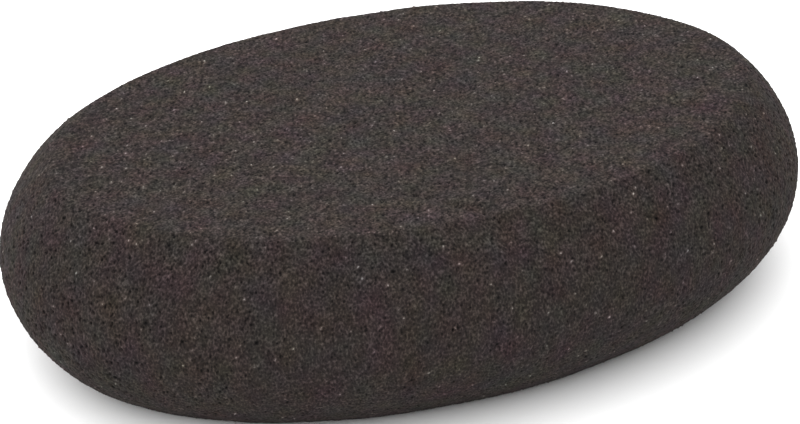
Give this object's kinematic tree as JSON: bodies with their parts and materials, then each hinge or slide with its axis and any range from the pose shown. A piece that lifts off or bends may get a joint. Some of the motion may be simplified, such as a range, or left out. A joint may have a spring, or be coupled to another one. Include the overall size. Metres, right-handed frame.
{
  "type": "polishing pad",
  "caption": "Oval block of fine-cell charcoal foam with a flat face each side and a wall that swells outwards, held in the hand to spread and work polish.",
  "frame": {"origin": "middle of the underside's flat face, on the surface that the pad lies on", "axes": "+X along the pad's length, +Y along its width, +Z along its thickness, up"},
  "size_m": [0.13, 0.0834, 0.033],
  "materials": {
    "foam": "matte"
  },
  "bodies": {
    "root": {"foam_pad": "foam"}
  },
  "joints": []
}
